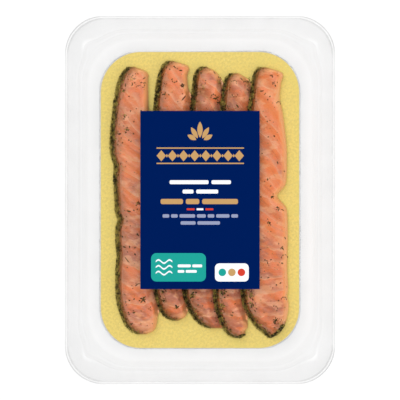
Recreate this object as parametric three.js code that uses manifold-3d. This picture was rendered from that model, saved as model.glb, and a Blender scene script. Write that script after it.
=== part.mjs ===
// A sealed clear tray of thick-cut smoked salmon with dill, lying flat with its label up.
// Millimetres. The origin is the middle of the tray's foot, +X runs to the right of the label,
// +Y to its top and +Z up.
import * as THREE from "three";
import { mergeVertices } from "three/addons/utils/BufferGeometryUtils.js";
import Module from "manifold-3d";

const wasm = await Module();
wasm.setup();

// Driving dimensions of the pack
const PACK_WIDTH = 150;
const PACK_LENGTH = 204.4;
const FLANGE_HEIGHT = 17;
const SHEET = 0.6; // thickness of the formed plastic
const FLANGE_RADIUS = 21;
const CORNER_STEPS = 12;
const LUG_PLACE = 0.44; // of the way round a corner, from the long side
const LUG_SHARE = 0.1; // of a corner, half the width of its stacking lug

const FILM_INSET = 1.4; // the film stops this far inside the flange's edge
const FILM_THICKNESS = 0.3;
const CARD_INSET = 19.6;
const CARD_RADIUS = 22.5;
const CARD_THICKNESS = 0.6;
const LABEL_WIDTH = 66.3;
const LABEL_LENGTH = 99;
const LABEL_THICKNESS = 0.2;
const LAY_GAP = 0.1; // left between pieces that lie on each other

// Driving dimensions of the slices
const SLICE_THICKNESS = 7.5;
const RIM_THICKNESS = 2.4; // at the thin right-hand edge
const RIM_FOOT = 0.12; // how far up its taper the right-hand edge starts
const RIM_CORNER = 0.25; // how far inside the right-hand edge its rounding turns down
const FREE_TAPER = 3.2; // width over which a free right-hand edge rounds off
const TUCKED_TAPER = 8; // and one that is pressed thin under the next slice
const WEDGE_RATE = 8; // how soon the rounding gives way to that wedge
const CRUST_WIDTH = 3; // the slanted, dill-covered left-hand side
const CRUST_FOOT = 0.25; // how far up its slant the left-hand edge starts
const TUCK = 2; // how far a slice reaches under the next one
const TUCK_FADE = 12; // over this length a slice comes out from under the next one
const TUCK_LIFT = 3.3; // how far the next one is raised by it
const REST_LIFT = 0.15;
const END_ROUNDING = 5;
const END_SHARE = 0.35; // of the thickness that is left at the very ends
const STATIONS = 62;
const FLAKE_RELIEF = 0.22;
const FLAKE_PITCH = 11;
const FLAKE_SLANT = 0.95;
const FLAKE_SHIFT = 2.3; // from one slice's flakes to the next one's
const CRUST_RELIEF = 0.5;
const CRUST_HEM = 0.75; // the bevel under the crust's lower edge
const DILL_BITS = 17; // the larger bits of dill on each slice
const DILL_LENGTH = 3.2;
const DILL_WIDTH = 0.8;
const DILL_DEPTH = 0.65;
const DILL_FROM_END = 8; // no bit lies nearer to a slice's end
const DILL_SINK = 0.3; // how far the middle of a bit lies below the fish's face

// The tray's upper face, from the edge inwards: inset from the edge, height, corner radius
// and how far the stacking lug in each corner bulges out.
const trayFace = [
  [0, FLANGE_HEIGHT - 0.5, FLANGE_RADIUS, 0],
  [0.7, FLANGE_HEIGHT - 0.05, FLANGE_RADIUS, 0],
  [1.2, FLANGE_HEIGHT, FLANGE_RADIUS, 0],
  [7.2, FLANGE_HEIGHT, 28, 2.7],
  [7.9, FLANGE_HEIGHT - 0.5, 28, 2.7],
  [8.6, FLANGE_HEIGHT - 3, 28, 2.7],
  [9.0, FLANGE_HEIGHT - 3.4, 27.8, 2.5],
  [10.1, FLANGE_HEIGHT - 3.6, 27.4, 0],
  [10.6, FLANGE_HEIGHT - 4.2, 27.2, 0],
  [12.2, FLANGE_HEIGHT - 10.2, 26.4, 0],
  [13.1, FLANGE_HEIGHT - 12.4, 26, 0],
  [14.6, 2.9, 25.3, 0],
  [16.4, 1.6, 24.4, 0],
  [18.0, 0.9, 23.6, 0],
  [19.2, SHEET, 23, 0],
];

// Where each slice lies. Its outline is given at these shares of its length, from the top end.
const outlineShares = [0, 0.02, 0.06, 0.16, 0.3, 0.45, 0.6, 0.75, 0.87, 0.95, 0.985, 1];
// tuck: the stretch of Y over which the slice's right-hand edge lies under the next slice.
// nicks: small hollows in an edge, as side, place along Y, depth and half length.
const slices = [
  {
    name: "slice_1",
    top: 74.2,
    bottom: -74.7,
    left: [-40.1, -42.5, -45.4, -48.1, -49.6, -47.4, -46.6, -46.5, -46, -42.4, -38.4, -34.7],
    right: [-36.5, -29.6, -28.9, -28.6, -27.5, -27, -26.4, -25.8, -23.1, -23.8, -25.5, -29.5],
    tuck: [12, -53],
    nicks: [["left", 19, 1.3, 5], ["left", -11, 1.4, 3], ["left", -31, 0.8, 5]],
  },
  {
    name: "slice_2",
    top: 77.5,
    bottom: -67.2,
    left: [-17.9, -20.6, -23, -25, -26, -26.9, -27.5, -27, -25.6, -22.6, -19.2, -15.3],
    right: [-15.3, -6.8, -7, -5, -4.7, -5.8, -7.5, -8.6, -8.6, -7.2, -8.2, -12.3],
    tuck: [50, -52],
    nicks: [["right", 63, 0.4, 4]],
  },
  {
    name: "slice_3",
    top: 74.2,
    bottom: -71.4,
    left: [0.6, -2.1, -3.5, -5, -6, -6.9, -8.1, -8.8, -8.9, -4.3, 0.8, 4.6],
    right: [3.6, 8.9, 11.9, 12.8, 11.9, 10.8, 9.2, 7.5, 6.7, 8.8, 10.2, 9.2],
    tuck: [57, -66],
    nicks: [],
  },
  {
    name: "slice_4",
    top: 70.6,
    bottom: -76.8,
    left: [17, 14.6, 12.9, 11.7, 11.2, 10.4, 9, 7.8, 8.4, 12.2, 15.8, 19.6],
    right: [21.6, 25.5, 28.6, 27.8, 27.5, 26.4, 24.7, 23.1, 23.6, 26.6, 25.6, 22.8],
    tuck: [58, -57],
    nicks: [["right", -73, 1, 1.5]],
  },
  {
    name: "slice_5",
    top: 73.9,
    bottom: -76.8,
    left: [32.9, 30.5, 29.2, 27.4, 26.9, 26.1, 25.3, 24.2, 23.9, 30.4, 36.3, 38.9],
    right: [36.9, 45.6, 45.3, 46.1, 48.3, 48.2, 48.9, 48.6, 49.5, 47.4, 43.6, 39.5],
    tuck: null,
    nicks: [["right", 57, 1.2, 6], ["right", 2.2, 5.2, 4.3], ["right", -53.6, 0.9, 3]],
  },
];

const CARD_BOTTOM = SHEET + LAY_GAP;
const CARD_TOP = CARD_BOTTOM + CARD_THICKNESS;
const FILM_BOTTOM = FLANGE_HEIGHT + LAY_GAP;
const FILM_TOP = FILM_BOTTOM + FILM_THICKNESS;

// One seeded draw after another, each from 0 to 1.
function seededDraw(seed) {
  let state = seed;
  return () => {
    state = (state + 0x6d2b79f5) | 0;
    let mixed = Math.imul(state ^ (state >>> 15), 1 | state);
    mixed = (mixed + Math.imul(mixed ^ (mixed >>> 7), 61 | mixed)) ^ mixed;
    return ((mixed ^ (mixed >>> 14)) >>> 0) / 4294967296;
  };
}

const smooth = (share) => THREE.MathUtils.smoothstep(share, 0, 1);

// A closed surface through rings of equal count, its two ends closed by a fan to each middle.
function loft(rings) {
  const count = rings[0].length;
  const points = rings.flat();
  const faces = [];
  for (let ring = 0; ring + 1 < rings.length; ring++) {
    for (let i = 0; i < count; i++) {
      const a = ring * count + i;
      const b = ring * count + ((i + 1) % count);
      faces.push(a, b, b + count, a, b + count, a + count);
    }
  }
  const middle = (ring) =>
    ring.reduce((sum, p) => sum.add(p), new THREE.Vector3()).divideScalar(count);
  const lastRing = (rings.length - 1) * count;
  const firstMiddle = points.push(middle(rings[0])) - 1;
  const lastMiddle = points.push(middle(rings[rings.length - 1])) - 1;
  for (let i = 0; i < count; i++) {
    const next = (i + 1) % count;
    faces.push(firstMiddle, next, i, lastMiddle, lastRing + i, lastRing + next);
  }
  const geometry = new THREE.BufferGeometry().setFromPoints(points);
  geometry.setIndex(faces);
  geometry.computeVertexNormals();
  return geometry;
}

// A rectangle with round corners, counterclockwise seen from above. A lug bulges each corner out.
function roundedRing(halfWidth, halfLength, radius, z, lug = 0) {
  const corners = [[1, 1, 0], [-1, 1, 0.5], [-1, -1, 1], [1, -1, 1.5]];
  return corners.flatMap(([sideX, sideY, start]) =>
    Array.from({ length: CORNER_STEPS + 1 }, (_, step) => {
      const share = step / CORNER_STEPS;
      const angle = Math.PI * (start + share / 2);
      const lugAt = sideX === sideY ? LUG_PLACE : 1 - LUG_PLACE;
      const reach = radius + lug * Math.exp(-(((share - lugAt) / LUG_SHARE) ** 2));
      return new THREE.Vector3(
        sideX * (halfWidth - radius) + reach * Math.cos(angle),
        sideY * (halfLength - radius) + reach * Math.sin(angle),
        z,
      );
    }),
  );
}

const packRing = (inset, radius, z, lug) =>
  roundedRing(PACK_WIDTH / 2 - inset, PACK_LENGTH / 2 - inset, radius, z, lug);

// The tray is its upper face and the same face moved one sheet thickness down and out.
function trayGeometry() {
  const upper = trayFace.map(([inset, z]) => new THREE.Vector2(inset, z));
  const lower = upper.map((point, i) => {
    const along = upper[Math.min(i + 1, upper.length - 1)].clone().sub(upper[Math.max(i - 1, 0)]);
    const outwards = new THREE.Vector2(along.y, -along.x).normalize().multiplyScalar(SHEET);
    return point.clone().add(outwards);
  });
  const foot = lower.length - 1;
  lower[0].set(0, upper[0].y - SHEET);
  lower[foot].set(upper[foot].x - SHEET / 2, 0);
  const ring = (point, i) => packRing(point.x, trayFace[i][2], Math.max(point.y, 0), trayFace[i][3]);
  return loft([...lower.map(ring).reverse(), ...upper.map(ring)]);
}

function plateGeometry(inset, radius, bottom, thickness) {
  return loft([packRing(inset, radius, bottom), packRing(inset, radius, bottom + thickness)]);
}

function labelGeometry() {
  const middle = FILM_TOP + LAY_GAP + LABEL_THICKNESS / 2;
  const label = new THREE.BoxGeometry(LABEL_WIDTH, LABEL_LENGTH, LABEL_THICKNESS);
  return label.translate(0, 0, middle);
}

// A smooth curve through values that stand at the outline's shares.
function alongOutline(values, share) {
  const at = outlineShares;
  let i = 0;
  while (i < at.length - 2 && share > at[i + 1]) i++;
  const slope = (k) => {
    const before = Math.max(k - 1, 0);
    const after = Math.min(k + 1, at.length - 1);
    return (values[after] - values[before]) / (at[after] - at[before]);
  };
  const step = at[i + 1] - at[i];
  const t = (share - at[i]) / step;
  const start = values[i] * (2 * t ** 3 - 3 * t ** 2 + 1) + slope(i) * step * (t ** 3 - 2 * t ** 2 + t);
  const end = values[i + 1] * (3 * t ** 2 - 2 * t ** 3) + slope(i + 1) * step * (t ** 3 - t ** 2);
  return start + end;
}

const shareAt = (slice, y) => THREE.MathUtils.clamp((slice.top - y) / (slice.top - slice.bottom), 0, 1);

function nicked(slice, side, y) {
  return slice.nicks
    .filter(([edge]) => edge === side)
    .reduce((sum, [, place, depth, half]) => sum + depth * Math.exp(-(((y - place) / half) ** 2)), 0);
}

const leftEdge = (slice, y) =>
  alongOutline(slice.left, shareAt(slice, y)) + nicked(slice, "left", y);

// 1 where the slice is tucked under the next one, 0 elsewhere.
function tuckShare(slice, y) {
  if (!slice || !slice.tuck) return 0;
  const [from, to] = slice.tuck;
  return smooth((from - y) / TUCK_FADE + 1) * smooth((y - to) / TUCK_FADE + 1);
}

function rightEdge(index, y) {
  const slice = slices[index];
  const free = alongOutline(slice.right, shareAt(slice, y)) - nicked(slice, "right", y);
  const tucked = tuckShare(slice, y);
  if (tucked === 0) return free;
  return THREE.MathUtils.lerp(free, leftEdge(slices[index + 1], y) + TUCK, tucked);
}

// The left-hand edge is raised where the slice before reaches under it or near it.
const liftAt = (index, y) =>
  THREE.MathUtils.lerp(REST_LIFT, TUCK_LIFT, Math.cbrt(tuckShare(slices[index - 1], y)));

// Thickness of the fish at a distance from the left-hand and right-hand edges. A free right-hand
// edge is rounded off, and one that lies under the next slice is pressed to a wedge.
function thicknessAt(fromLeft, fromRight, tucked) {
  const crust = smooth(CRUST_FOOT + ((1 - CRUST_FOOT) * fromLeft) / CRUST_WIDTH);
  const taper = THREE.MathUtils.lerp(FREE_TAPER, TUCKED_TAPER, tucked);
  const rise = THREE.MathUtils.clamp(RIM_FOOT + fromRight / taper, 0, 1);
  const rounded = Math.sqrt(1 - (1 - rise) ** 2);
  const rim = THREE.MathUtils.lerp(rounded, smooth(rise), Math.min(WEDGE_RATE * tucked, 1));
  return Math.max(SLICE_THICKNESS * crust * rim, RIM_THICKNESS * Math.min(crust * 2, 1));
}

// The under face slants from the raised left-hand edge down to the card.
const bottomAt = (index, across, y) =>
  CARD_TOP + LAY_GAP + liftAt(index, y) * (1 - across);

// The low steps between the flakes run slantwise and fade out towards both edges.
function flakesAt(index, fromLeft, across, y) {
  const along = y + FLAKE_SLANT * fromLeft + FLAKE_SHIFT * index;
  const inside = smooth(across * 3) * smooth((1 - across) * 3);
  return FLAKE_RELIEF * Math.sin((2 * Math.PI * along) / FLAKE_PITCH) * inside;
}

// Height of a slice's upper face.
function topAt(index, x, y) {
  const slice = slices[index];
  const left = leftEdge(slice, y);
  const right = rightEdge(index, y);
  const across = (x - left) / (right - left);
  const toEnd = Math.min(slice.top - y, y - slice.bottom);
  const fromEnd = THREE.MathUtils.clamp(toEnd / END_ROUNDING, 0, 1);
  const round = THREE.MathUtils.lerp(END_SHARE, 1, Math.sqrt(1 - (1 - fromEnd) ** 2));
  const body = thicknessAt(x - left, right - x, tuckShare(slice, y)) * round;
  return bottomAt(index, across, y) + body + flakesAt(index, x - left, across, y);
}

// One cross-section, from the foot of the right-hand edge over the top to the left and back.
function sliceRing(index, y, draw) {
  const left = leftEdge(slices[index], y);
  const right = rightEdge(index, y);
  const width = right - left;
  const rough = (amount) => amount * (draw() - 0.5) * 2;
  const at = (x, height) => new THREE.Vector3(x, y, height);
  const onTop = (x, extra = 0) => at(x, topAt(index, x, y) + extra);
  const crustTop = left + Math.min(CRUST_WIDTH, width * 0.3);
  const cutFace = [0.86, 0.66, 0.38].map((share) =>
    onTop(THREE.MathUtils.lerp(crustTop, right, share)),
  );
  const crustAt = (share) => THREE.MathUtils.lerp(left, crustTop, share);
  const rimTop = right - Math.min(width * 0.1, RIM_THICKNESS / 2);
  return [
    at(rimTop, bottomAt(index, 1, y)),
    at(right, bottomAt(index, 1, y) + RIM_THICKNESS * 0.4),
    onTop(right - RIM_CORNER),
    onTop(rimTop),
    ...cutFace,
    onTop(crustTop, rough(CRUST_RELIEF * 0.4)),
    onTop(crustAt(0.55) + rough(CRUST_RELIEF / 2), rough(CRUST_RELIEF * 0.7)),
    onTop(crustAt(0.16) + Math.abs(rough(CRUST_RELIEF * 0.6)), rough(CRUST_RELIEF / 2)),
    at(left + Math.abs(rough(CRUST_RELIEF)), bottomAt(index, 0, y) + CRUST_HEM),
    at(left + CRUST_HEM, bottomAt(index, 0, y)),
    at(left + width / 2, bottomAt(index, 0.5, y)),
  ];
}

function sliceBody(index, draw) {
  const slice = slices[index];
  const length = slice.top - slice.bottom;
  const rings = Array.from({ length: STATIONS }, (_, i) => {
    const even = i / (STATIONS - 1);
    const nearEnds = 0.5 - 0.5 * Math.cos(Math.PI * even);
    const share = THREE.MathUtils.lerp(even, nearEnds, 0.35);
    return sliceRing(index, slice.top - length * share, draw);
  });
  return loft(rings);
}

// A bit of dill: a small pointed leaf lying on the fish, half sunk in it.
function dillBit(index, draw) {
  const slice = slices[index];
  const y = THREE.MathUtils.lerp(slice.top - DILL_FROM_END, slice.bottom + DILL_FROM_END, draw());
  const left = leftEdge(slice, y) + CRUST_WIDTH + DILL_LENGTH / 2;
  const right = rightEdge(index, y) - FREE_TAPER;
  const x = THREE.MathUtils.lerp(left, Math.max(right, left), draw());
  const bit = new THREE.OctahedronGeometry(1, 0);
  bit.scale((DILL_LENGTH / 2) * (0.5 + 0.5 * draw()), DILL_WIDTH / 2, DILL_DEPTH);
  bit.rotateZ(Math.PI * draw());
  bit.translate(x, y, topAt(index, x, y) - DILL_SINK);
  return bit;
}

function toSolid(geometry) {
  const bare = geometry.clone();
  bare.deleteAttribute("normal");
  bare.deleteAttribute("uv");
  const merged = mergeVertices(bare, 1e-4);
  return new wasm.Manifold(
    new wasm.Mesh({
      numProp: 3,
      vertProperties: new Float32Array(merged.attributes.position.array),
      triVerts: new Uint32Array(merged.index.array),
    }),
  );
}

function toGeometry(solid) {
  const mesh = solid.getMesh();
  const geometry = new THREE.BufferGeometry();
  geometry.setAttribute("position", new THREE.BufferAttribute(mesh.vertProperties, 3));
  geometry.setIndex(new THREE.BufferAttribute(mesh.triVerts, 1));
  geometry.computeVertexNormals();
  return geometry;
}

function sliceGeometry(index) {
  const draw = seededDraw(101 + 17 * index);
  let solid = toSolid(sliceBody(index, draw));
  for (let bit = 0; bit < DILL_BITS; bit++) solid = solid.add(toSolid(dillBit(index, draw)));
  return toGeometry(solid);
}

const clearPlastic = new THREE.MeshStandardMaterial({
  color: 0xf2f2f2,
  roughness: 0.12,
  metalness: 0,
  transparent: true,
  opacity: 0.25,
});
const clearFilm = new THREE.MeshStandardMaterial({
  color: 0xffffff,
  roughness: 0.06,
  metalness: 0,
  transparent: true,
  opacity: 0.08,
});
const goldBoard = new THREE.MeshStandardMaterial({
  color: 0xe7cf73,
  roughness: 0.45,
  metalness: 0.3,
});
const navyPrint = new THREE.MeshStandardMaterial({ color: 0x002058, roughness: 0.35, metalness: 0 });
const salmon = new THREE.MeshStandardMaterial({ color: 0xd98262, roughness: 0.35, metalness: 0 });

const pack = new THREE.Group();

function place(name, geometry, material) {
  const mesh = new THREE.Mesh(geometry, material);
  mesh.name = name;
  pack.add(mesh);
}

place("tray", trayGeometry(), clearPlastic);
place("card", plateGeometry(CARD_INSET, CARD_RADIUS, CARD_BOTTOM, CARD_THICKNESS), goldBoard);
slices.forEach((slice, index) => place(slice.name, sliceGeometry(index), salmon));
place(
  "film",
  plateGeometry(FILM_INSET, FLANGE_RADIUS - FILM_INSET, FILM_BOTTOM, FILM_THICKNESS),
  clearFilm,
);
place("label", labelGeometry(), navyPrint);

export default pack;
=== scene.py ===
"""A sealed clear tray of thick-cut smoked salmon with dill, dressed around its solids."""
import math

import bpy
import numpy as np
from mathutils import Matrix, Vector


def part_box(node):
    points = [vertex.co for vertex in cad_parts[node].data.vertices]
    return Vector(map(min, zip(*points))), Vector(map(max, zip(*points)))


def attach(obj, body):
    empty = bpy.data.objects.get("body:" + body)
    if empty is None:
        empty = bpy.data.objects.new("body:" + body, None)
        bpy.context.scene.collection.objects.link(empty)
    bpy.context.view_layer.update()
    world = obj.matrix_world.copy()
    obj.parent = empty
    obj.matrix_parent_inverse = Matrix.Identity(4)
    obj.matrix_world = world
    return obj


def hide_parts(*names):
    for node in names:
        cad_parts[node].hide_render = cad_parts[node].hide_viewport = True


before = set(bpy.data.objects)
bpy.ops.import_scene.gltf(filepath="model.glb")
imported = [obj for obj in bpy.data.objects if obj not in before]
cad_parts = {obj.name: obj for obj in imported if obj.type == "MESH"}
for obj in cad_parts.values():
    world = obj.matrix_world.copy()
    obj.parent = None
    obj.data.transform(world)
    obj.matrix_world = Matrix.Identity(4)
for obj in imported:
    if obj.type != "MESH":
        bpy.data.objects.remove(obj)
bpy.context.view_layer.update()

bl_info = {
    "name": "Smoked salmon pack",
    "version": (1, 0, 0),
    "blender": (4, 5, 0),
    "location": "View3D > Sidebar > Salmon Pack",
    "description": "A clear tray of smoked salmon strips with dill on a gold board",
    "category": "Add Mesh",
}

MM = 0.001

tray_low, tray_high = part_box("tray")
card_low, card_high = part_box("card")
film_low, film_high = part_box("film")
label_low, label_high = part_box("label")

PACK_WIDTH = (tray_high.x - tray_low.x) / MM
PACK_LENGTH = (tray_high.y - tray_low.y) / MM
FLANGE_HEIGHT = tray_high.z / MM
CARD_TOP = card_high.z / MM
LABEL_WIDTH = (label_high.x - label_low.x) / MM
LABEL_LENGTH = (label_high.y - label_low.y) / MM
LABEL_BOTTOM = label_low.z / MM
LABEL_TOP = label_high.z / MM

# Sizes of the tray, the film and the board, in millimetres
FLANGE_RADIUS = 21
CORNER_STEPS = 36
LUG_PLACE = 0.44  # where in a corner its stacking lug stands, as a share of the turn
LUG_SHARE = 0.1
TRAY_STEP = 0.3
EDGE_INSET = 1.5  # up to here the sheet is milkier round the corners, as painted shade along their rim
LUG_GLINT_INSET = 6.6  # and here it is clearer, a painted highlight just before each lug
CARD_RADIUS = 22.5
CARD_BEVEL = 0.25
FILM_RINGS = 60
FILM_TAUT = 6  # nearer to its edge than this, the film doesn't dip
FILM_FLAT = 40.0  # and from this inset on it is flat again, round the label
FILM_DIP = 0.5

# The tray's upper face, from the edge inwards: inset, depth below the flange, corner radius
# and how far the stacking lug in each corner bulges out.
TRAY_FACE = (
    (0, 0.5, FLANGE_RADIUS, 0),
    (0.7, 0.05, FLANGE_RADIUS, 0),
    (1.2, 0, FLANGE_RADIUS, 0),
    (7.2, 0, 28, 2.7),
    (7.9, 0.5, 28, 2.7),
    (8.6, 3, 28, 2.7),
    (9.0, 3.4, 27.8, 2.5),
    (10.1, 3.6, 27.4, 0),
    (10.6, 4.2, 27.2, 0),
    (12.2, 10.2, 26.4, 0),
    (13.1, 12.4, 26, 0),
    (14.6, 14.1, 25.3, 0),
    (16.4, 15.4, 24.4, 0),
    (18.0, 16.1, 23.6, 0),
    (19.2, 16.4, 23, 0),
)
# How much light the sheet takes away, from the edge inwards: inset and share. Besides its haze
# this holds painted light: the clearer lines are painted highlights on its bends, the milkier ones
# painted shade at its edge and steep walls, and the rise by the card is the card's painted shadow.
TRAY_HAZE_AND_LIGHT = (
    (0, 2.2), (0.4, 2.2), (0.6, 0.2), (0.9, 0.2), (1.2, 1.8), (1.5, 1.7), (1.9, 1.3), (2.6, 1.15),
    (3.8, 1.05), (5, 0.95), (6.4, 0.85), (7.5, 0.6), (7.9, 0.8), (8.4, 0.7), (9.7, 0.75),
    (10.8, 0.5), (11.9, 0.5), (13, 0.35), (14.2, 0.5), (16.4, 0.7), (17.4, 0.75), (18.4, 0.95),
    (19.2, 0.85),
)

# Sizes of the slices, in millimetres
LAY_GAP = 0.1
CRUST_FOOT = 0.25
RIM_THICKNESS = 2.4
RIM_FOOT = 0.12
FREE_TAPER = 3.2
TUCKED_TAPER = 8
WEDGE_RATE = 8
TUCK = 2
TUCK_FADE = 12
TUCK_LIFT = 3.3
REST_LIFT = 0.15
END_ROUNDING = 5
END_SHARE = 0.35
FLAKE_RELIEF = 0.22
FLAKE_PITCH = 11
FLAKE_SLANT = 0.95
FLAKE_SHIFT = 2.3
CRUST_HEM = 0.75
CRUST_END = 22  # the crust narrows within this of each end
CRUST_END_SHARE = 0.62
TUCKED_LIGHT_REACH = (2, 9)  # how far in from its edge a tucked slice gets painted light against its shade, fully and at all
RIM_REACH = 4  # how far in from its free edge a slice is paler, partly painted light over its rounding's shade
EDGE_STEP = 0.3  # half the stretch over which the lean of an edge is measured
STEEPEST = 6
STATIONS = 400
TOP_POINTS = 84
EDGE_POINTS = 8
UNDER_POINTS = 8

# Where each slice lies. Its outline is given at these shares of its length, from the top end,
# and its other changing facts at the second row of shares.
OUTLINE_SHARES = (0, 0.02, 0.06, 0.16, 0.3, 0.45, 0.6, 0.75, 0.87, 0.95, 0.985, 1)
FLESH_SHARES = (0, 0.2, 0.5, 0.8, 1)
# tuck: the stretch along Y where the right-hand edge lies under the next slice.
# nicks: hollows in an edge, as side, place along Y, depth and half length.
# wrap: how far the crust runs on round the bottom end, along the right-hand edge.
# crust_tone: how much lighter or darker the dill on its crusted side is.
# breadth: how wide the crust is, as a share.
# spread: how far the dill runs on over the flesh.
# warmth: from dull pink (0) to bright orange (1).
# slant and bow: how steeply the pale lines fall to the right, and how they curve back up.
SLICES = (
    dict(
        name="slice_1", top=74.2, bottom=-74.7, tuck=(12, -53), wrap=0, crust_tone=0.08,
        left=(-40.1, -42.5, -45.4, -48.1, -49.6, -47.4, -46.6, -46.5, -46, -42.4, -38.4, -34.7),
        right=(-36.5, -29.6, -28.9, -28.6, -27.5, -27, -26.4, -25.8, -23.1, -23.8, -25.5, -29.5),
        nicks=(("left", 19, 1.3, 5), ("left", -11, 1.4, 3), ("left", -31, 0.8, 5)),
        breadth=(1, 0.9, 0.75, 0.64, 0.68), spread=(1.6, 1.4, 1.2, 1.6, 1.2),
        warmth=(0.3, 0.8, 0.85, 0.6, -0.25), slant=(0.6, 1.2, 0.8, 0.7, 0.5),
        bow=(0, 0, 0.02, 0.03, 0.03),
    ),
    dict(
        name="slice_2", top=77.5, bottom=-67.2, tuck=(50, -52), wrap=0, crust_tone=-0.18,
        left=(-17.9, -20.6, -23, -25, -26, -26.9, -27.5, -27, -25.6, -22.6, -19.2, -15.3),
        right=(-15.3, -6.8, -7, -5, -4.7, -5.8, -7.5, -8.6, -8.6, -7.2, -8.2, -12.3),
        nicks=(("right", 63, 0.4, 4),),
        breadth=(1, 1, 1, 1, 1), spread=(1.4, 1.4, 1.6, 2.4, 2.2),
        warmth=(0.5, 0.65, 0.6, 0.2, 0.1), slant=(0.7, 0.9, 0.8, 0.6, 0.4),
        bow=(0, 0, 0, 0.03, 0.04),
    ),
    dict(
        name="slice_3", top=74.2, bottom=-71.4, tuck=(57, -66), wrap=0, crust_tone=-0.18,
        left=(0.6, -2.1, -3.5, -5, -6, -6.9, -8.1, -8.8, -8.9, -4.3, 0.8, 4.6),
        right=(3.6, 8.9, 11.9, 12.8, 11.9, 10.8, 9.2, 7.5, 6.7, 8.8, 10.2, 9.2),
        nicks=(),
        breadth=(1, 1, 1, 1, 1), spread=(1.4, 1.6, 1.6, 3.0, 2.2),
        warmth=(0.4, -0.2, 0.3, -0.3, -0.2), slant=(0.7, 0.9, 0.8, 1.0, 0.9),
        bow=(0, 0, 0, 0.05, 0.05),
    ),
    dict(
        name="slice_4", top=70.6, bottom=-76.8, tuck=(58, -57), wrap=1.5, crust_tone=-0.04,
        left=(17, 14.6, 12.9, 11.7, 11.2, 10.4, 9, 7.8, 8.4, 12.2, 15.8, 19.6),
        right=(21.6, 25.5, 28.6, 27.8, 27.5, 26.4, 24.7, 23.1, 23.6, 26.6, 25.6, 22.8),
        nicks=(("right", -73, 1, 1.5),),
        breadth=(1, 1, 1, 1, 1), spread=(1.8, 1.6, 1.6, 2.2, 2.0),
        warmth=(0.2, -0.1, 0.3, -0.05, 0.05), slant=(0.8, 1.0, 0.8, 1.0, 0.8),
        bow=(0, 0, 0, 0.05, 0.05),
    ),
    dict(
        name="slice_5", top=73.9, bottom=-76.8, tuck=None, wrap=7, crust_tone=-0.08,
        left=(32.9, 30.5, 29.2, 27.4, 26.9, 26.1, 25.3, 24.2, 23.9, 30.4, 36.3, 38.9),
        right=(36.9, 45.6, 45.3, 46.1, 48.3, 48.2, 48.9, 48.6, 49.5, 47.4, 43.6, 39.5),
        nicks=(("right", 57, 1.2, 6), ("right", 2.2, 5.2, 4.3), ("right", -53.6, 0.9, 3)),
        breadth=(1, 1, 1, 1, 1), spread=(1.2, 1.4, 1.6, 4.0, 3.2),
        warmth=(0.9, 0.65, 1.1, 0.65, -0.1), slant=(0.2, 1.0, 0.9, 0.1, 0.3),
        bow=(0, -0.02, -0.01, 0.01, 0.01),
    ),
)

# The crumbs and needles of dill, with sizes in millimetres
LAY_STEP = 0.12  # the face's slope is measured over this much to each side
DUST_SIZE = 1.3
CRUMB_GIRTH = (0.12, 0.3)  # half of a crumb's width, at the least and at the most
CRUMB_DEPTH = (0.07, 0.17)
NEEDLE_WIDTH = (0.42, 0.8)
NEEDLE_DEPTH = (0.15, 0.35)
PATCH_SHADE = -0.2  # the crumbs on the flesh are darker than the crust's
PATCH_CRUMBS = 20  # crumbs for each millimetre of a small patch's size
CRUST_SHARE = 0.66  # crumbs that fall within the crust's reach; the others are strewn past it
CRUST_REACH = (-0.3, 2.8)
STREWN_FROM = 1.8
STREWN_REACH = 2.4
CRUST_TONE = 0.45  # between the darkest dill and the lightest
BROWN_SHARE = 0.05

# Colours that aren't settings
WHITE = (1, 1, 1)
BLACK = (0, 0, 0)
# painted glints on the board
PAINTED_BOARD_GLINT = (0.95, 0.83, 0.36)
# the board's pale cut edge, also painted light over the shade along its rim
CUT_EDGE_AND_LIGHT = (0.9, 0.9, 0.88)
TUCKED_LIGHT_TINT = (1.35, 1.42, 1.75)  # how much painted light lifts a tucked edge out of its shade, for each part
FLOOR_WHITE = (0.9, 0.9, 0.9)

# Thicknesses of the label's print, in millimetres
PRINT_DEPTH = 0.06
PRINT_LAYER = 0.02

# The photograph's frame at the height of the flange, in millimetres, and the stage in metres
FRAME_WIDTH = 222.24
CAMERA_DISTANCE = 6.0
SENSOR_WIDTH = 36.0
FLOOR_HALF = 3.0
LIGHT_SIZE = 0.9
WORLD_STRENGTH = 0.5
KEY_POWER = 7
FILL_POWER = 5.5
OVERHEAD_STRENGTH = 1.15
OVERHEAD_SPREAD = 35
CLEAR_LAYERS = 24  # how many clear faces light may pass, as at a slant through film and tray


# Small helpers


def ease(share):
    share = np.clip(share, 0, 1)
    return share * share * (3 - 2 * share)


def lerp(low, high, share):
    return low + (high - low) * share


def unit(vectors):
    return vectors / np.maximum(np.linalg.norm(vectors, axis=-1, keepdims=True), 1e-9)


def crowded(count, closeness):
    """Shares from 0 to 1 that stand closer together near both ends."""
    even = np.linspace(0, 1, count)
    return lerp(even, 0.5 - 0.5 * np.cos(math.pi * even), closeness)


def lattice_draw(column, row, seed):
    """A fixed draw from 0 to 1 for every corner of an endless grid."""
    mixed = (column * 374761393 + row * 668265263 + seed * 974634777) & 0xFFFFFFFF
    mixed = ((mixed ^ (mixed >> 13)) * 1274126177) & 0xFFFFFFFF
    mixed = mixed ^ (mixed >> 16)
    return (mixed & 0xFFFFFF) / 0xFFFFFF


def lumps(x, y, size, seed):
    """Smooth noise from -1 to 1 whose lumps are about size across."""
    column = np.floor(x / size).astype(np.int64)
    row = np.floor(y / size).astype(np.int64)
    over = ease(x / size - column)
    up = ease(y / size - row)
    low = lerp(lattice_draw(column, row, seed), lattice_draw(column + 1, row, seed), over)
    high = lerp(
        lattice_draw(column, row + 1, seed), lattice_draw(column + 1, row + 1, seed), over
    )
    return 2 * lerp(low, high, up) - 1


def corner_shares():
    """For every point of a ring, how far round its corner it is."""
    return np.tile(np.linspace(0, 1, CORNER_STEPS + 1), 4)


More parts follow.
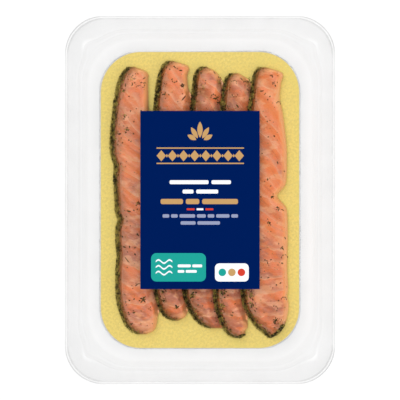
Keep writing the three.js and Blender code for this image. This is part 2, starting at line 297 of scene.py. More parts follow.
def lug_shares():
    """For every point of a ring, how near it is to the lug in its corner, from 0 to 1."""
    places = np.repeat([LUG_PLACE, 1 - LUG_PLACE, LUG_PLACE, 1 - LUG_PLACE], CORNER_STEPS + 1)
    return np.exp(-(((corner_shares() - places) / LUG_SHARE) ** 2))


def rounded_ring(half_width, half_length, radius, z, lug=0):
    """Points round a rectangle with round corners, each with a lug, counterclockwise from above."""
    side_x, side_y, start = np.repeat(
        [(1, 1, 0), (-1, 1, 0.5), (-1, -1, 1), (1, -1, 1.5)], CORNER_STEPS + 1, axis=0
    ).T
    angle = math.pi * (start + corner_shares() / 2)
    reach = radius + lug * lug_shares()
    x = side_x * (half_width - radius) + reach * np.cos(angle)
    y = side_y * (half_length - radius) + reach * np.sin(angle)
    return np.stack([x, y, np.full_like(x, z)], 1)


def pack_ring(inset, z, radius, lug):
    return rounded_ring(PACK_WIDTH / 2 - inset, PACK_LENGTH / 2 - inset, radius, z, lug)


def skin(rings):
    """A closed surface through rings of equal count, each end closed by one flat face."""
    rings = np.asarray(rings)
    ring_count, count = rings.shape[:2]
    first = np.arange(ring_count - 1)[:, None] * count
    here = np.arange(count)[None, :]
    after = (here + 1) % count
    quads = np.stack([first + here, first + after, first + count + after, first + count + here], -1)
    faces = quads.reshape(-1, 4).tolist()
    faces.append(list(range(count))[::-1])
    faces.append([(ring_count - 1) * count + i for i in range(count)])
    return rings.reshape(-1, 3), faces


def chaikin(points, rounds=2):
    """Cuts the corners of an open line, keeping its ends."""
    points = np.asarray(points, float)
    for _ in range(rounds):
        near = 0.75 * points[:-1] + 0.25 * points[1:]
        far = 0.25 * points[:-1] + 0.75 * points[1:]
        middle = np.stack([near, far], 1).reshape(-1, points.shape[1])
        points = np.concatenate([points[:1], middle[1:-1], points[-1:]])
    return points


def add_piece(name, points, faces, material, nodes=(), sharp=None):
    """A piece of the pack from points in millimetres, which rides on the pack's one body."""
    mesh = bpy.data.meshes.new(name)
    mesh.from_pydata((np.asarray(points) * MM).tolist(), [], faces)
    mesh.validate()
    mesh.shade_smooth()
    if sharp:
        mesh.set_sharp_from_angle(angle=math.radians(sharp))
    mesh.materials.append(material)
    piece = bpy.data.objects.new(name, mesh)
    bpy.context.scene.collection.objects.link(piece)
    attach(piece, "root")
    if nodes:
        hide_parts(*nodes)
    return piece


def set_values(piece, name, values):
    """Stores one number for each point of a piece, for its material to read."""
    attribute = piece.data.attributes.new(name, "FLOAT", "POINT")
    attribute.data.foreach_set("value", np.asarray(values, np.float32).ravel())


# Materials


class Recipe:
    """The nodes of one material."""

    def __init__(self, name):
        self.material = bpy.data.materials.new(name)
        self.material.use_nodes = True
        self.tree = self.material.node_tree
        self.tree.nodes.clear()

    def add(self, kind, inputs, **settings):
        """Adds a node, whose inputs are numbers, colours or other nodes' outputs."""
        node = self.tree.nodes.new("ShaderNode" + kind)
        for key, value in settings.items():
            setattr(node, key, value)
        for key, value in inputs.items():
            socket = node.inputs[key]
            if isinstance(value, bpy.types.NodeSocket):
                self.tree.links.new(value, socket)
            elif socket.type == "RGBA":
                socket.default_value = (*value, 1)
            else:
                socket.default_value = value
        return node.outputs

    def calc(self, kind, *values):
        return self.add("Math", dict(enumerate(values)), operation=kind)[0]

    def sway(self, base, noise, weight):
        """A value that noise moves up and down from where it is."""
        return self.calc("MULTIPLY_ADD", self.calc("SUBTRACT", noise, 0.5), weight, base)

    def blend(self, share, first, second, kind="MIX"):
        """A mix of two colours."""
        inputs = {0: share, 6: first, 7: second}
        return self.add("Mix", inputs, data_type="RGBA", blend_type=kind)[2]

    def remap(self, value, low, high, to_low=0.0, to_high=1.0, kind="SMOOTHSTEP"):
        names = ("Value", "From Min", "From Max", "To Min", "To Max")
        inputs = dict(zip(names, (value, low, high, to_low, to_high)))
        return self.add("MapRange", inputs, interpolation_type=kind)["Result"]

    def noise(self, size, detail, stretch=(1, 1, 1), turn=0.0):
        """Noise whose lumps are about size millimetres across, stretched along the axes."""
        scale = tuple(1 / s for s in stretch)
        turned = {"Vector": self.place(), "Rotation": (0, 0, turn), "Scale": scale}
        place = self.add("Mapping", turned)[0]
        inputs = {"Vector": place, "Scale": 1 / (size * MM), "Detail": detail}
        return self.add("TexNoise", inputs)["Fac"]

    def place(self):
        return self.add("TexCoord", {})["Object"]

    def value(self, name):
        """The number that each point of the piece holds under a name."""
        return self.add("Attribute", {}, attribute_name=name)["Fac"]

    def bump(self, height, strength, distance):
        inputs = {"Height": height, "Strength": strength, "Distance": distance * MM}
        return self.add("Bump", inputs)["Normal"]

    def shader(self, base, roughness, normal, **others):
        """The usual shader. Other sockets are given with an underscore for each space."""
        inputs = {"Base Color": base, "Roughness": roughness, "Normal": normal}
        inputs.update({name.replace("_", " "): value for name, value in others.items()})
        return self.add("BsdfPrincipled", inputs)[0]

    def finish(self, shader):
        self.add("OutputMaterial", {"Surface": shader})
        return self.material


def scaled(colour, factors):
    """A colour times one factor, or times one for each of its three parts."""
    return np.minimum(np.array(colour) * factors, 1)


def clear_material(name, body, edge, tint, roughness, wave, haze_and_painted_light):
    """Clear plastic: see-through where it faces the eye, and milkier at a slant."""
    m = Recipe(name)
    facing = m.add("LayerWeight", {"Blend": 0.3})["Facing"]
    share = m.remap(facing, 0.1, 0.95, body, edge, "LINEAR")
    ripple = m.bump(m.noise(wave, 1), 0.3, 0.15)
    gloss = m.shader((tint, tint, tint), roughness, ripple, IOR=1.5)
    cloud = m.remap(m.noise(14, 2), 0.3, 0.7, 0.9, 1.1)
    # the haze attribute also carries painted highlights and painted shade, set place by place on
    # the tray
    taken = m.calc("MULTIPLY", m.calc("MULTIPLY", m.value("haze_and_painted_light"), cloud), haze_and_painted_light)
    through = m.add("BsdfTransparent", {"Color": m.blend(taken, WHITE, BLACK)})[0]
    return m.finish(m.add("MixShader", {"Fac": share, 1: through, 2: gloss})[0])


def board_material(colour):
    """Gold-coloured board with a fine speckled grain, and bright flecks that are painted glints of
    its metallic face.
    """
    m = Recipe("gold_board")
    grain = m.noise(1.5, 4)
    light = scaled(colour, 1.13)
    dark = scaled(colour, (0.86, 0.86, 0.76))
    greenish = scaled(colour, (0.97, 1.02, 0.9))
    base = m.blend(m.remap(grain, 0.35, 0.65), dark, light)
    base = m.blend(m.remap(m.noise(16, 2), 0.45, 0.7, 0, 0.5), base, greenish)
    # painted glints: small bright flecks in the board's colour
    painted_glint = m.remap(m.noise(0.7, 2), 0.66, 0.74, 0, 0.55)
    base = m.blend(painted_glint, base, PAINTED_BOARD_GLINT)
    # pale cut edge: also painted light that lifts the shade along the board's rim
    base = m.blend(m.value("cut"), base, CUT_EDGE_AND_LIGHT)
    roughness = m.remap(grain, 0.3, 0.7, 0.42, 0.58)
    return m.finish(m.shader(base, roughness, m.bump(grain, 0.25, 0.05), Metallic=0.25))


def salmon_material(dull, bright, line, crust):
    """Smoked salmon: soft orange flakes between pale lines, and a dark herb crust."""
    m = Recipe("salmon")
    phase = flake_phase(m)
    fibre = m.noise(0.5, 2, stretch=(4, 0.8, 1), turn=0.9)
    base = flesh_tones(m, phase, dull, bright, line)
    base = flesh_lines(m, phase, base, dull, line)
    base = m.blend(m.remap(fibre, 0.5, 0.75, 0, 0.24), base, line)
    base = flesh_edges(m, base, bright, line)
    ragged = m.sway(m.value("from_crust"), m.noise(1.4, 3), 5.0)
    brown = scaled(dull, (0.62, 0.66, 0.3))
    base = m.blend(m.remap(ragged, 1.5, 9.5, 0.9, 0), base, brown)
    base = m.blend(dust(m), base, crust)
    in_crust = m.remap(ragged, 2.3, 1.2)
    grains = m.remap(m.noise(0.7, 3), 0.35, 0.65)
    base = m.blend(in_crust, base, m.blend(grains, scaled(crust, 0.45), crust))
    relief = m.calc("MULTIPLY_ADD", m.noise(0.8, 3), 1.5, fibre)
    shader = m.shader(
        base,
        m.remap(in_crust, 0, 1, 0.3, 0.75),
        m.bump(relief, 0.4, 0.12),
        Specular_IOR_Level=0.3,
        Subsurface_Weight=0.1,
        Subsurface_Radius=(1.0, 0.4, 0.25),
        Subsurface_Scale=1.2 * MM,
    )
    return m.finish(shader)


def flake_phase(m):
    """How many flakes lie between a place and the slice's start, with wandering bounds."""
    phase = m.sway(m.value("flake"), m.noise(14, 2), 0.9)
    return m.sway(phase, m.noise(1.2, 2), 0.05)


def flesh_tones(m, phase, dull, bright, line):
    """The flesh between its lines: a tone for each flake, with deeper and paler patches."""
    flake = m.add("TexWhiteNoise", {"W": m.calc("FLOOR", phase)}, noise_dimensions="1D")[0]
    share = m.value("warmth")
    for value, weight in ((flake, 0.8), (m.calc("FRACT", phase), 0.6), (m.noise(11, 3), 2.2)):
        share = m.sway(share, value, weight)
    patch = m.noise(6, 3, stretch=(1.4, 0.8, 1), turn=0.6)
    base = m.blend(share, dull, bright)
    base = m.blend(m.remap(patch, 0.52, 0.64, 0, 0.6), base, scaled(bright, (1.0, 0.8, 0.6)))
    return m.blend(m.remap(patch, 0.47, 0.36, 0, 0.55), base, line)


def flesh_lines(m, phase, base, dull, line):
    """Lean dark lines in the flakes, and strong and fine pale lines between them."""
    lean = scaled(dull, (0.8, 0.6, 0.55))
    base = m.blend(patchy_lines(m, m.calc("ADD", phase, 0.4), 6, 0.09, 0.3), base, lean)
    base = m.blend(m.remap(m.calc("FRACT", phase), 0.3, 0.0, 0, 0.4), base, line)
    base = m.blend(patchy_lines(m, phase, 7, 0.035, 0.75), base, line)
    return m.blend(patchy_lines(m, m.calc("MULTIPLY", phase, 3.3), 9, 0.1, 0.24), base, line)


def patchy_lines(m, phase, patch, breadth, most):
    """One thin line for each flake, strong in some patches and faint in others."""
    middle = m.calc("FRACT", m.calc("ADD", phase, 0.5))
    apart = m.calc("ABSOLUTE", m.calc("SUBTRACT", middle, 0.5))
    strength = m.remap(m.noise(patch, 2), 0.42, 0.62, 0.0, most)
    return m.calc("MULTIPLY", m.remap(apart, breadth, breadth / 4), strength)


def flesh_edges(m, base, bright, line):
    """A pale cut end, and painted light on the edges that lie under the next slice or end free; the
    free edges are also paler flesh.
    """
    cut_end = m.sway(m.value("from_top"), m.noise(3, 3), 9.0)
    base = m.blend(m.remap(cut_end, 5.0, 2.0, 0, 0.75), base, line)
    # painted light: tucked edges are lightened against the shade of their slope and of the next
    # slice
    base = m.blend(m.value("tucked_painted_light"), base, TUCKED_LIGHT_TINT, "MULTIPLY")
    # free edges: paler flesh, with painted light over the shade of their rounding
    return m.blend(m.value("rim"), base, scaled(bright, (1.25, 2.1, 2.8)))


def dust(m):
    """Herb dust beside the crust: small specks that thin out over the flesh."""
    inputs = {"Vector": m.place(), "Scale": 1 / (DUST_SIZE * MM), "Randomness": 1.0}
    cells = m.add("TexVoronoi", inputs)
    speck = m.remap(cells["Distance"], 0.26, 0.16)
    chance = m.add("SeparateColor", {0: cells["Color"]})[0]
    limit = m.remap(m.value("from_crust"), 1.5, 8.0, 0.75, 0.06)
    picked = m.calc("MULTIPLY", speck, m.calc("LESS_THAN", chance, limit))
    return m.calc("MULTIPLY", picked, 0.85)


def dill_material(name, dark, light, brown):
    """Dried dill: every bit has its own tone, from dark olive to dull green and brown."""
    m = Recipe(name)
    tone = m.value("tone")
    mottle = m.noise(0.5, 2)
    base = m.blend(tone, dark, light)
    base = m.blend(m.remap(tone, 0.86, 0.9), base, brown)
    base = m.blend(m.remap(mottle, 0.4, 0.7, 0, 0.35), base, scaled(dark, 0.5))
    return m.finish(m.shader(base, 0.6, m.bump(mottle, 0.3, 0.05), Specular_IOR_Level=0.1))


def print_material(name, colour):
    """Matt printed paper with a barely visible grain."""
    m = Recipe(name)
    grain = m.noise(0.6, 3)
    base = m.blend(grain, scaled(colour, 0.94), scaled(colour, 1.06))
    return m.finish(m.shader(base, 0.6, m.bump(grain, 0.15, 0.02), Specular_IOR_Level=0.0))


# The slices' shape


class Slice:
    """One slice of fish: its outline, and the heights of its faces at any place."""

    def __init__(self, facts, before, thickness, crust_width):
        self.facts = facts
        self.index = SLICES.index(facts)
        self.before = before
        self.after = None
        self.thickness = thickness
        self.crust_width = crust_width
        self.top = facts["top"]
        self.bottom = facts["bottom"]
        if before:
            before.after = self

    def share(self, y):
        """How far a place is from the top end to the bottom end."""
        return np.clip((self.top - y) / (self.top - self.bottom), 0, 1)

    def profile(self, name, y):
        """One of the facts that change from the top end to the bottom end."""
        return np.interp(self.share(y), FLESH_SHARES, self.facts[name])

    def along(self, values, y):
        """A smooth curve through values that stand at the outline's shares."""
        at = np.array(OUTLINE_SHARES)
        values = np.array(values, float)
        share = self.share(y)
        before = np.maximum(np.arange(len(at)) - 1, 0)
        after = np.minimum(np.arange(len(at)) + 1, len(at) - 1)
        slope = (values[after] - values[before]) / (at[after] - at[before])
        i = np.clip(np.searchsorted(at, share, side="right") - 1, 0, len(at) - 2)
        step = at[i + 1] - at[i]
        t = (share - at[i]) / step
        start = values[i] * (2 * t**3 - 3 * t**2 + 1) + slope[i] * step * (t**3 - 2 * t**2 + t)
        end = values[i + 1] * (3 * t**2 - 2 * t**3) + slope[i + 1] * step * (t**3 - t**2)
        return start + end

    def nicked(self, side, y):
        depths = [
            depth * np.exp(-(((y - place) / half) ** 2))
            for edge, place, depth, half in self.facts["nicks"]
            if edge == side
        ]
        return sum(depths, np.zeros_like(y))

    def left(self, y):
        return self.along(self.facts["left"], y) + self.nicked("left", y)

    def tucked(self, y):
        """1 where the slice lies under the next one, 0 elsewhere."""
        if not self.facts["tuck"]:
            return np.zeros_like(y)
        start, stop = self.facts["tuck"]
        return ease((start - y) / TUCK_FADE + 1) * ease((y - stop) / TUCK_FADE + 1)

    def right(self, y):
        free = self.along(self.facts["right"], y) - self.nicked("right", y)
        if not self.after:
            return free
        return lerp(free, self.after.left(y) + TUCK, self.tucked(y))

    def lift(self, y):
        if not self.before:
            return np.full_like(y, REST_LIFT)
        return lerp(REST_LIFT, TUCK_LIFT, np.cbrt(self.before.tucked(y)))

    def under(self, across, y):
        return CARD_TOP + LAY_GAP + self.lift(y) * (1 - across)

    def body(self, from_left, from_right, y):
        crust = ease(CRUST_FOOT + (1 - CRUST_FOOT) * from_left / self.crust_width)
        tucked = self.tucked(y)
        rise = np.clip(RIM_FOOT + from_right / lerp(FREE_TAPER, TUCKED_TAPER, tucked), 0, 1)
        rounded = np.sqrt(1 - (1 - rise) ** 2)
        rim = lerp(rounded, ease(rise), np.minimum(WEDGE_RATE * tucked, 1))
        thick = np.maximum(self.thickness * crust * rim, RIM_THICKNESS * np.minimum(crust * 2, 1))
        to_end = np.minimum(self.top - y, y - self.bottom)
        from_end = np.clip(to_end / END_ROUNDING, 0, 1)
        return thick * lerp(END_SHARE, 1, np.sqrt(1 - (1 - from_end) ** 2))

    def flakes(self, from_left, y):
        """How far along the row of flakes a place is, in flakes."""
        return (y + FLAKE_SLANT * from_left + FLAKE_SHIFT * self.index) / FLAKE_PITCH

    def height(self, x, y):
        """Height of the upper face without its finest relief."""
        left = self.left(y)
        right = self.right(y)
        across = np.clip((x - left) / (right - left), 0, 1)
        inside = ease(across * 3) * ease((1 - across) * 3)
        steps = FLAKE_RELIEF * np.sin(2 * math.pi * self.flakes(x - left, y)) * inside
        return self.under(across, y) + self.body(x - left, right - x, y) + steps

    def stretch(self, edge, y):
        """How much longer a way along X from an edge is than one square to it."""
        lean = (edge(y + EDGE_STEP) - edge(y - EDGE_STEP)) / (2 * EDGE_STEP)
        return np.sqrt(1 + np.clip(lean, -STEEPEST, STEEPEST) ** 2)

    def edge_distance(self, edge, x, y):
        """Distance on the flat from an edge, square to it."""
        return np.abs(x - edge(y)) / self.stretch(edge, y)

    def from_crust(self, x, y):
        """Distance from the edge that carries the crust, as if the crust were 3 mm wide."""
        to_end = np.minimum(self.top - y, y - self.bottom)
        breadth = lerp(CRUST_END_SHARE, 1, ease(to_end / CRUST_END))
        breadth = breadth * (1 + 0.25 * lumps(y, 0 * y + 9 * self.index, 6, 3))
        breadth = breadth * self.profile("breadth", y)
        distance = self.edge_distance(self.left, x, y) / breadth
        if not self.facts["wrap"]:
            return distance
        past = np.maximum(y - self.bottom - self.facts["wrap"], 0)
        from_right = self.edge_distance(self.right, x, y) + 1.0 + past * 2
        return np.minimum(distance, from_right)


def make_slices(sizes):
    made = []
    for facts in SLICES:
        before = made[-1] if made else None
        made.append(Slice(facts, before, sizes.slice_thickness / MM, sizes.crust_width / MM))
    return made


def fine_relief(x, y, from_crust, seed):
    """Low relief that is too fine for the solid: lumps, fibres and the crust's grains."""
    broad = 0.16 * lumps(x, y, 9, seed) + 0.07 * lumps(x, y, 3, seed + 1)
    fibres = 0.035 * lumps(x + 0.8 * y, (y - 0.6 * x) * 3, 2.4, seed + 2)
    grains = 0.34 * lumps(x, y, 1.3, seed + 3) + 0.2 * lumps(x, y, 0.6, seed + 4)
    in_crust = 1 - ease((from_crust - 1.8) / 1.6)
    return lerp(broad + fibres, grains, in_crust)


def slice_rings(piece, seed):
    """The points round a slice at many places along it, with all its relief."""
    y = (piece.top - (piece.top - piece.bottom) * crowded(STATIONS, 0.35))[:, None]
    left = piece.left(y)
    right = piece.right(y)
    width = right - left
    shares = crowded(TOP_POINTS, 0.75)[None, :]
    top_x = left + width * shares
    top_y = np.broadcast_to(y, top_x.shape)
    from_crust = piece.from_crust(top_x, top_y)
    fade = ease(shares * 8) * ease((1 - shares) * 6)
    top_z = piece.height(top_x, top_y) + fine_relief(top_x, top_y, from_crust, seed) * fade
    grain = 0.52 * lumps(top_x, top_y * 1.3, 1.1, seed + 5)
    grain += 0.28 * lumps(top_x, top_y, 0.5, seed + 6)
    grain += 0.45 * lumps(top_x * 0.3, top_y, 2.8, seed + 7)
    top_x = top_x + grain * (1 - ease(from_crust / 2.5)) * np.minimum(shares * 20 + 0.5, 1)
    # The right-hand edge turns in below
    bend = np.linspace(0, math.pi / 2, EDGE_POINTS)[None, 1:]
    rim = np.minimum(width * 0.1, RIM_THICKNESS / 2)
    edge_x = right - rim + rim * np.cos(bend)
    edge_z = piece.under(1, y) + (top_z[:, -1:] - piece.under(1, y)) * (1 - np.sin(bend))
    # The under face, and the bevel under the crust's edge
    under_shares = np.linspace(0.92, 0.06, UNDER_POINTS)[None, :]
    under_x = left + width * under_shares
    under_z = piece.under(under_shares, y)
    hem_x = left + np.array([CRUST_HEM, 0.22, 0.03])[None, :]
    hem_z = piece.under(0, y) + np.array([0, CRUST_HEM * 0.4, CRUST_HEM])[None, :]
    hem_x[:, 1:] += grain[:, :1] * 0.5
    x = np.concatenate([top_x, edge_x, under_x, hem_x], 1)
    z = np.concatenate([top_z, edge_z, under_z, hem_z], 1)
    rings = np.stack([x, np.broadcast_to(y, x.shape), z], -1)
    return rings[:, ::-1]


def build_slice(piece, material, seed):
    """Makes a slice, whose points hold what its material needs to know of each place."""
    points, faces = skin(slice_rings(piece, seed))
    node = piece.facts["name"]
    made = add_piece(node + "_fish", points, faces, material, (node,))
    x, y = points[:, 0], points[:, 1]
    from_left = x - piece.left(y)
    from_right = piece.edge_distance(piece.right, x, y)
    bent = (piece.profile("slant", y) - FLAKE_SLANT) * from_left
    bent -= piece.profile("bow", y) * from_left**2
    set_values(made, "from_crust", piece.from_crust(x, y))
    set_values(made, "flake", piece.flakes(from_left, y) + bent / FLAKE_PITCH)
    set_values(made, "warmth", piece.profile("warmth", y))
    set_values(made, "from_top", piece.top - y)
    near, far = TUCKED_LIGHT_REACH
    # painted light on the tucked edge, against its shade
    set_values(made, "tucked_painted_light", piece.tucked(y) * ease((far - from_right) / (far - near)))
    # the free edge's paler rim, partly painted light over the shade of its rounding
    set_values(made, "rim", (1 - piece.tucked(y)) * ease(1 - from_right / RIM_REACH))


# Dill

SPINDLE_SHARES = (0, 0.25, 0.5, 0.75, 1)
SPINDLE_GIRTHS = (0.15, 0.85, 1, 0.8, 0.1)
SPINDLE_SIDES = 4
SPINDLE_POINTS = len(SPINDLE_SHARES) * SPINDLE_SIDES
CRUMB_CORNERS = ((1, 0, 0), (-1, 0, 0), (0, 1, 0), (0, -1, 0), (0, 0, 1), (0, 0, -1))
CRUMB_FACES = (
    (0, 2, 4), (2, 1, 4), (1, 3, 4), (3, 0, 4), (2, 0, 5), (1, 2, 5), (3, 1, 5), (0, 3, 5)
)


def spindles(starts, ends, widths, heights, sag, height_at):
    """Many thin pointed bits between two places each, laid on a surface."""
    shares = np.array(SPINDLE_SHARES)
    girths = np.array(SPINDLE_GIRTHS)
    sides = SPINDLE_SIDES
    count = len(starts)
    way = ends - starts
    length = np.linalg.norm(way, axis=1, keepdims=True)
    side = np.stack([-way[:, 1], way[:, 0]], 1) / np.maximum(length, 1e-6)
    middle = starts[:, None, :] + way[:, None, :] * shares[None, :, None]
    bow = sag[:, None] * (1 - (2 * shares - 1)[None, :] ** 2)
    middle = middle + side[:, None, :] * bow[:, :, None]
    ground = height_at(middle[..., 0], middle[..., 1])
    rings = np.zeros((count, len(shares), sides, 3))
    for corner in range(sides):
        angle = 2 * math.pi * corner / sides
        offset = math.cos(angle) * widths[:, None] / 2 * girths[None, :]
        rings[:, :, corner, 0] = middle[..., 0] + side[:, None, 0] * offset
        rings[:, :, corner, 1] = middle[..., 1] + side[:, None, 1] * offset
        lift = (0.5 + math.sin(angle)) * heights[:, None] / 2 * girths[None, :]
        rings[:, :, corner, 2] = ground + lift
    _, faces = skin(rings[0])
    base = np.arange(count) * SPINDLE_POINTS
    all_faces = (base[:, None, None] + np.array(faces)[None]).reshape(-1, sides).tolist()
    return rings.reshape(-1, 3), all_faces


def flecks(centres, along, normals, sizes):
    """Many small crumbs of leaf, each a flattened crystal, turned to lie on a face."""
    across = np.cross(normals, along)
    corners = np.array(CRUMB_CORNERS, float)
    points = centres[:, None, :]
    for axis, direction in enumerate((along, across, normals)):
        reach = sizes[:, axis, None] * direction
        points = points + corners[None, :, axis, None] * reach[:, None, :]
    base = np.arange(len(centres)) * len(corners)
    faces = base[:, None, None] + np.array(CRUMB_FACES)[None]
    return points.reshape(-1, 3), faces.reshape(-1, 3).tolist()


def lay_flecks(piece, x, y, lengths, rise, draw):
    """Crumbs of dill at places on a slice, each turned to lie on its face."""
    step = LAY_STEP
    inner = np.maximum(x, piece.left(y) + step)
    slope_x = (piece.height(inner + step, y) - piece.height(inner - step, y)) / (2 * step)
    slope_y = (piece.height(inner, y + step) - piece.height(inner, y - step)) / (2 * step)
    normals = unit(np.stack([-slope_x, -slope_y, np.ones_like(x)], 1))
    turn = draw.normal(math.pi / 2, 0.9, len(x))
    flat = np.stack([np.cos(turn), np.sin(turn), draw.normal(0, 0.35, len(x))], 1)
    along = unit(flat - normals * np.sum(flat * normals, 1, keepdims=True) * 0.8)
    girths = draw.uniform(*CRUMB_GIRTH, len(x)), draw.uniform(*CRUMB_DEPTH, len(x))
    sizes = np.stack([lengths, *girths], 1)
    centres = np.stack([x, y, piece.height(inner, y)], 1) + normals * rise[:, None]
    normals = unit(normals + draw.normal(0, 0.3, normals.shape))
    normals = unit(normals - along * np.sum(along * normals, 1, keepdims=True))
    return flecks(centres, along, normals, sizes)


def crust_flecks(piece, count, draw):
    """Crumbs of dill all over a slice's crusted side, with more where it is steep."""
    tries = count * 5
    y = draw.uniform(piece.bottom + 0.3, piece.top - 0.3, tries)
    depth = np.where(
        draw.uniform(size=tries) < CRUST_SHARE,
        draw.uniform(*CRUST_REACH, tries),
        STREWN_FROM + draw.exponential(STREWN_REACH, tries),
    )
    x = piece.left(y) + depth * piece.stretch(piece.left, y)
    near = piece.from_crust(x, y)
    steep = 1 - 0.75 * ease(near / 3)
    past = np.maximum(near - 1.7 - lumps(x, y, 1.5, 21) - 0.5 * lumps(x, y, 4, 22), 0)
    keep = (x < piece.right(y) - 0.6) & (draw.uniform(size=tries) < steep)
    chance = 0.6 * np.exp(-past / piece.profile("spread", y))
    keep &= (past == 0) | (draw.uniform(size=tries) < chance)
    x, y, near, past = (values[keep][:count] for values in (x, y, near, past))
    rise = draw.uniform(0.1, 0.65, len(x)) * np.clip(1.4 - near / 5, 0.2, 1)
    lengths = draw.uniform(0.22, 0.5, len(x)) + draw.exponential(0.14, len(x))
    shade = piece.facts["crust_tone"] - 0.3 * (past > 0)
    return *lay_flecks(piece, x, y, lengths, rise, draw), shade


def end_flecks(piece, count, draw):
    """Crumbs where the crust runs on round a slice's bottom end."""
    y = piece.bottom + draw.uniform(0.3, piece.facts["wrap"] + 0.5, count)
    x = piece.right(y) - draw.uniform(0.2, 1.9, count) * piece.stretch(piece.right, y)
    keep = x > piece.left(y) + 0.5
    x, y = x[keep], y[keep]
    lengths = draw.uniform(0.3, 0.8, len(x))
    rise = draw.uniform(0, 0.25, len(x))
    return *lay_flecks(piece, x, y, lengths, rise, draw), np.full(len(x), PATCH_SHADE)


def patch_flecks(piece, x, y, size, draw):
    """A small patch of crumbs on the flesh."""
    count = int(PATCH_CRUMBS * size)
    xs = x + draw.normal(0, size / 2, count)
    ys = y + draw.normal(0, size / 2, count)
    lengths = draw.uniform(0.2, 0.6, count)
    rise = draw.uniform(0, 0.15, count)
    return *lay_flecks(piece, xs, ys, lengths, rise, draw), np.full(count, PATCH_SHADE)


def join_meshes(parts):
    """One list of points and faces from several."""
    points = []
    faces = []
    start = 0
    for some_points, some_faces in parts:
        points.append(some_points)
        faces.extend([[i + start for i in face] for face in some_faces])
        start += len(some_points)
    return np.concatenate(points), faces


# The larger bits of dill, as kind, place along X and Y, size in millimetres and turn in degrees.
SPRIGS = (
    ("curl", -38.6, 68.2, 3.4, 200), ("curl", -37.2, 66.6, 3.0, 230),
    ("curl", -34.4, 65.0, 2.8, 300), ("needle", -31.2, 67.8, 2.4, 40),
    ("curl", -35.2, 68.8, 2.6, 150), ("needle", -37.8, 64.2, 2.0, 60),
    ("curl", -32.4, 64.0, 2.6, 20), ("needle", -30.6, 65.2, 1.6, 140),
    ("curl", -14.2, 66.8, 2.6, 250), ("needle", -9.0, 56.8, 4.0, 50),
    ("needle", 8.0, 70.8, 2.0, 130), ("curl", 10.6, 67.4, 1.8, 30),
    ("star", 9.2, 56.6, 4.4, 20), ("star", 10.6, 54.2, 3.2, 70),
    ("curl", 7.4, 57.4, 2.4, 120), ("needle", 23.0, 67.2, 2.6, 130),
    ("curl", 19.2, 65.4, 2.0, 60), ("curl", 19.3, 58.8, 2.8, 280),
    ("needle", 20.8, 52.4, 2.8, 130), ("curl", 27.2, 63.2, 4.4, 90),
    ("star", 40.8, 65.0, 2.4, 100), ("needle", 41.8, 63.6, 1.6, 120),
    ("curl", 43.6, 53.6, 2.0, 80), ("needle", 43.2, 20.8, 1.8, 110),
    ("star", 40.2, 1.6, 3.0, 20), ("star", 43.4, -4.8, 3.6, 60),
    ("needle", 45.8, -5.8, 3.0, 155), ("needle", 47.4, -21.2, 1.8, 120),
    ("star", 45.4, -26.9, 3.6, 10), ("curl", 47.0, -32.2, 3.2, 100),
    ("curl", 36.2, -34.8, 2.6, 20), ("curl", 46.6, -55.4, 2.6, 90),
    ("curl", 41.6, -60.4, 2.8, 40), ("star", 42.0, -66.6, 4.0, 50),
    ("needle", -39.6, -6.2, 2.6, 170), ("needle", -34.6, -19.2, 2.2, 125),
    ("needle", -40.6, -33.2, 4.6, 128), ("star", -35.0, -46.4, 4.0, 140),
    ("star", -31.6, -55.2, 5.0, 15), ("star", -27.6, -60.6, 3.6, 80),
    ("star", -13.0, -59.4, 4.0, 95), ("curl", -2.8, -52.8, 3.0, 150),
)
# Small patches of crumbs on the flesh, as place along X and Y and size.
PATCHES = (
    (-37.0, 67.4, 1.6), (-42.4, 60.6, 1.0), (-42.1, 46.6, 1.5), (-41.0, 39.2, 1.4),
    (-9.3, 63.9, 1.2), (10.8, 65.2, 1.3), (1.4, 62.6, 1.6), (26.6, 65.6, 2.2),
    (27.6, 61.0, 2.2), (38.4, -12.8, 1.1), (-34.4, -1.8, 1.3), (-20.0, -50.9, 1.8),
    (12.6, -51.8, 1.6), (12.4, -59.4, 1.8), (-4.0, -53.0, 1.8), (-20.4, -56.0, 1.4),
    (28.6, -52.5, 2.4), (29.0, -58.0, 2.0), (42.6, -67.6, 2.2),
)
STAR_ARMS = (0, 38, 100, 165, 230, 290)
CURL_TURNS = (-1.9, -1.0, -0.1, 0.8, 1.7)


def slice_under(slices, x, y):
    """The slice that lies on top at a place."""
    here = np.array([y])
    for piece in reversed(slices):
        inside = piece.left(here)[0] + 0.3 < x < piece.right(here)[0] - 0.3
        if inside and piece.bottom < y < piece.top:
            return piece
    raise RuntimeError(f"no slice lies at {x}, {y}")


def sprig_strokes(kind, x, y, size, turn, draw):
    """Starts, ends and bows of the thin bits that make up one larger bit of dill."""
    angle = math.radians(turn)
    way = np.array([math.cos(angle), math.sin(angle)])
    place = np.array([x, y])
    if kind == "needle":
        return [(place - way * size / 2, place + way * size / 2, draw.normal(0, size * 0.06))]
    if kind == "curl":
        turns = angle + np.array(CURL_TURNS)
        bend = place + size / 2 * np.stack([np.cos(turns), np.sin(turns)], 1)
        return [(start, end, -0.12 * size) for start, end in zip(bend[:-1], bend[1:])]
    strokes = []
    for arm in STAR_ARMS:
        lean = angle + math.radians(arm + draw.uniform(-15, 15))
        reach = size / 2 * draw.uniform(0.5, 1.1)
        tip = place + reach * np.array([math.cos(lean), math.sin(lean)])
        strokes.append((place, tip, draw.normal(0, 0.15)))
    return strokes


# Printed shapes


def plate(outline, low, high):
    """A flat solid from an outline, between two heights."""
    outline = np.asarray(outline, float)
    rings = [np.column_stack([outline, np.full(len(outline), z)]) for z in (low, high)]
    return skin(rings)


